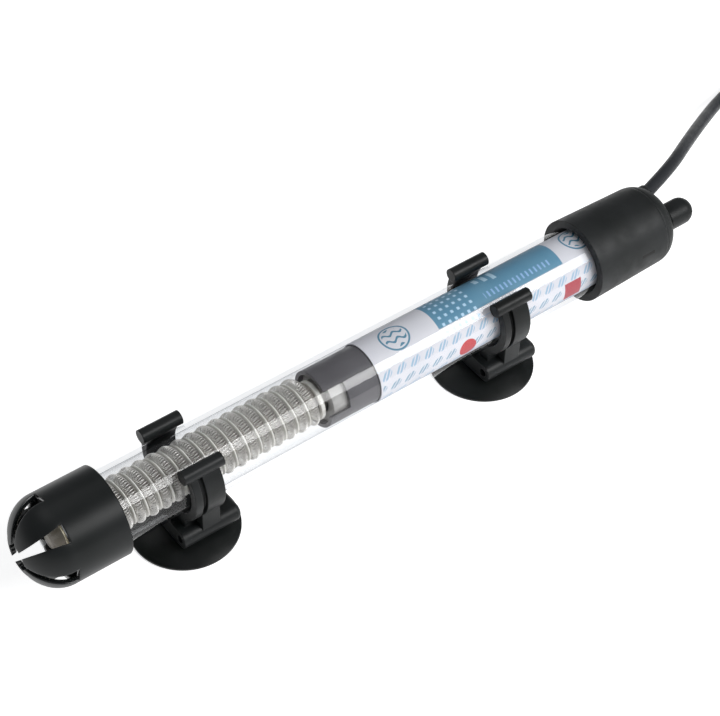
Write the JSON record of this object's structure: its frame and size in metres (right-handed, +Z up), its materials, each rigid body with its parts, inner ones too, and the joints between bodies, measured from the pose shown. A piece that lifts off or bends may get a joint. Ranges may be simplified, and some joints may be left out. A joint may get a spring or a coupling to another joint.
{
  "type": "submersible aquarium heater",
  "caption": "Glass-tube submersible aquarium heater with thermostat knob, slotted guard, two clips with suction cups, and a coiled lead with plug.",
  "frame": {"origin": "bottom centre of the heater's box without its lead, on the plane the suction cups stand on", "axes": "+X along the tube towards the cap and knob, +Z up, away from the suction cups"},
  "size_m": [0.4037, 0.1001, 0.0396],
  "materials": {
    "clear_glass": "clear borosilicate glass, very smooth",
    "black_plastic": "moulded black plastic, satin, with glossy edges",
    "black_rubber": "matt black rubber",
    "white_ceramic": "unglazed white ceramic",
    "beige_ceramic": "unglazed beige ceramic or heat-proof plastic",
    "heating_wire": "fine coiled resistance wire",
    "dark_holder": "dark grey heat-proof board",
    "printed_label": "rolled paper with printed blue panel",
    "brass_parts": "plain brass, nickel plated on the pins",
    "contact_metal": "bright plated metal",
    "bimetal": "rolled bimetal strip",
    "component_body": "dipped yellow component body",
    "lamp_glass": "small neon lamp",
    "wire_sleeving": "white heat-proof sleeving",
    "cord_jacket": "black flexible lead jacket, satin",
    "tie_plastic": "black plastic tie"
  },
  "bodies": {
    "heater": {"glass_tube": "clear_glass", "bottom_guard": "black_plastic", "ceramic_core": "white_ceramic", "core_washers": "white_ceramic", "core_tip": "beige_ceramic", "heating_coil": "heating_wire", "element_holder": "dark_holder", "ceramic_plug": "white_ceramic", "label_sleeve": "printed_label", "thermostat_chassis": "beige_ceramic", "contact_leaf": "brass_parts", "fixed_contact": "contact_metal", "snap_magnet": "contact_metal", "leaf_rivet": "brass_parts", "suppression_capacitor": "component_body", "lamp_resistor": "component_body", "neon_lamp": "lamp_glass", "rubber_stopper": "black_rubber", "spindle_seal": "black_rubber", "top_cap": "black_rubber", "cord_grommet": "black_rubber", "live_wire": "wire_sleeving", "neutral_wire": "wire_sleeving", "crimp_terminals": "contact_metal", "power_cord": "cord_jacket", "cord_coil": "cord_jacket", "cord_tail": "cord_jacket", "cord_tie": "tie_plastic", "plug_body": "cord_jacket", "plug_pins": "brass_parts"},
    "knob": {"adjusting_knob": "black_plastic", "spindle": "brass_parts", "spindle_cam": "beige_ceramic"},
    "bimetal": {"bimetal_strip": "bimetal", "moving_contact": "contact_metal"},
    "lower_clip": {"tube_clip_lower": "black_plastic"},
    "upper_clip": {"tube_clip_upper": "black_plastic"},
    "lower_cup": {"suction_cup_lower": "black_rubber"},
    "upper_cup": {"suction_cup_upper": "black_rubber"}
  },
  "joints": [
    {"name": "knob_turn", "type": "hinge", "parent": "heater", "child": "knob", "pos_m": [0.1265, -0.0034, 0.027], "axis": [1, 0, 0], "range_deg": [-150, 150]},
    {"name": "bimetal_bend", "type": "hinge", "parent": "heater", "child": "bimetal", "pos_m": [0.0245, -0.0034, 0.028], "axis": [0, 1, 0], "range_deg": [0, 2.5]},
    {"name": "lower_clip_slide", "type": "slide", "parent": "heater", "child": "lower_clip", "axis": [1, 0, 0], "range_m": [-0.016, 0.035]},
    {"name": "upper_clip_slide", "type": "slide", "parent": "heater", "child": "upper_clip", "axis": [1, 0, 0], "range_m": [-0.035, 0.018]},
    {"name": "lower_cup_swivel", "type": "hinge", "parent": "lower_clip", "child": "lower_cup", "pos_m": [-0.071, 0, 0.006], "axis": [0, 0, 1], "continuous": true},
    {"name": "upper_cup_swivel", "type": "hinge", "parent": "upper_clip", "child": "upper_cup", "pos_m": [0.0425, 0, 0.006], "axis": [0, 0, 1], "continuous": true}
  ]
}
